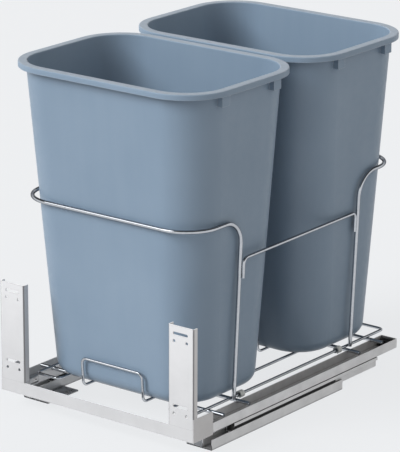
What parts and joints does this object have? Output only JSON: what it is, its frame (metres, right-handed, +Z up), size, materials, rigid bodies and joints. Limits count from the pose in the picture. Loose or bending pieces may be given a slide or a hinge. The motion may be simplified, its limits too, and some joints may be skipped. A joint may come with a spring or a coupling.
{
  "type": "pull out waste bin unit",
  "caption": "Pull-out waste bin unit for a base cabinet: tapered plastic bins in a chrome wire cradle on telescopic floor slides, with a slotted bracket for the door.",
  "frame": {"origin": "on the cabinet floor, under the middle of the unit's width and depth", "axes": "+Z up, +X to the right as seen from the door, +Y towards the back of the cabinet; the bins pull out along -Y"},
  "size_m": [0.368, 0.552, 0.5325],
  "materials": {
    "bin_plastic": "fine satin moulding texture, blue grey",
    "wire": "bright chrome-plated wire",
    "slide_steel": "zinc-plated sheet with a faint rolled grain",
    "runner_steel": "dark greased steel",
    "bracket_steel": "light grey satin paint",
    "black_plastic": "black moulded plastic",
    "buffer_rubber": "black rubber",
    "clip_plastic": "grey moulded plastic"
  },
  "bodies": {
    "base": {"left_floor_rail": "slide_steel", "right_floor_rail": "slide_steel"},
    "middle_rails": {"left_middle_rail": "slide_steel", "right_middle_rail": "slide_steel", "left_ball_cage": "black_plastic", "right_ball_cage": "black_plastic", "left_stop_buffer": "buffer_rubber", "right_stop_buffer": "buffer_rubber"},
    "carriage": {"left_channel": "slide_steel", "right_channel": "slide_steel", "left_runner": "runner_steel", "right_runner": "runner_steel", "left_stop_block": "black_plastic", "right_stop_block": "black_plastic", "left_upright": "bracket_steel", "right_upright": "bracket_steel", "cross_strip": "bracket_steel", "left_base_loop": "wire", "right_base_loop": "wire", "cross_rod_1": "wire", "cross_rod_2": "wire", "cross_rod_3": "wire", "cross_rod_4": "wire", "front_hoop": "wire", "rear_hoop": "wire", "left_side_rod": "wire", "right_side_rod": "wire", "front_bin_front_stop": "wire", "front_bin_rear_stop": "wire", "rear_bin_front_stop": "wire", "rear_bin_rear_stop": "wire", "left_front_clip": "clip_plastic", "right_front_clip": "clip_plastic", "left_rear_clip": "clip_plastic", "right_rear_clip": "clip_plastic"},
    "front_bin": {"front_bin": "bin_plastic"},
    "rear_bin": {"rear_bin": "bin_plastic"}
  },
  "joints": [
    {"name": "carriage_slide", "type": "slide", "parent": "base", "child": "carriage", "axis": [0, -1, 0], "range_m": [0, 0.5]},
    {"name": "middle_rail_slide", "type": "slide", "parent": "base", "child": "middle_rails", "axis": [0, -1, 0], "range_m": [0, 0.25]},
    {"name": "front_bin_lift", "type": "slide", "parent": "carriage", "child": "front_bin", "axis": [0, 0, 1], "range_m": [0, 0.5]},
    {"name": "rear_bin_lift", "type": "slide", "parent": "carriage", "child": "rear_bin", "axis": [0, 0, 1], "range_m": [0, 0.5]}
  ],
  "couplings": [
    {"joint": "middle_rail_slide", "follows": "carriage_slide", "ratio": 0.5}
  ]
}
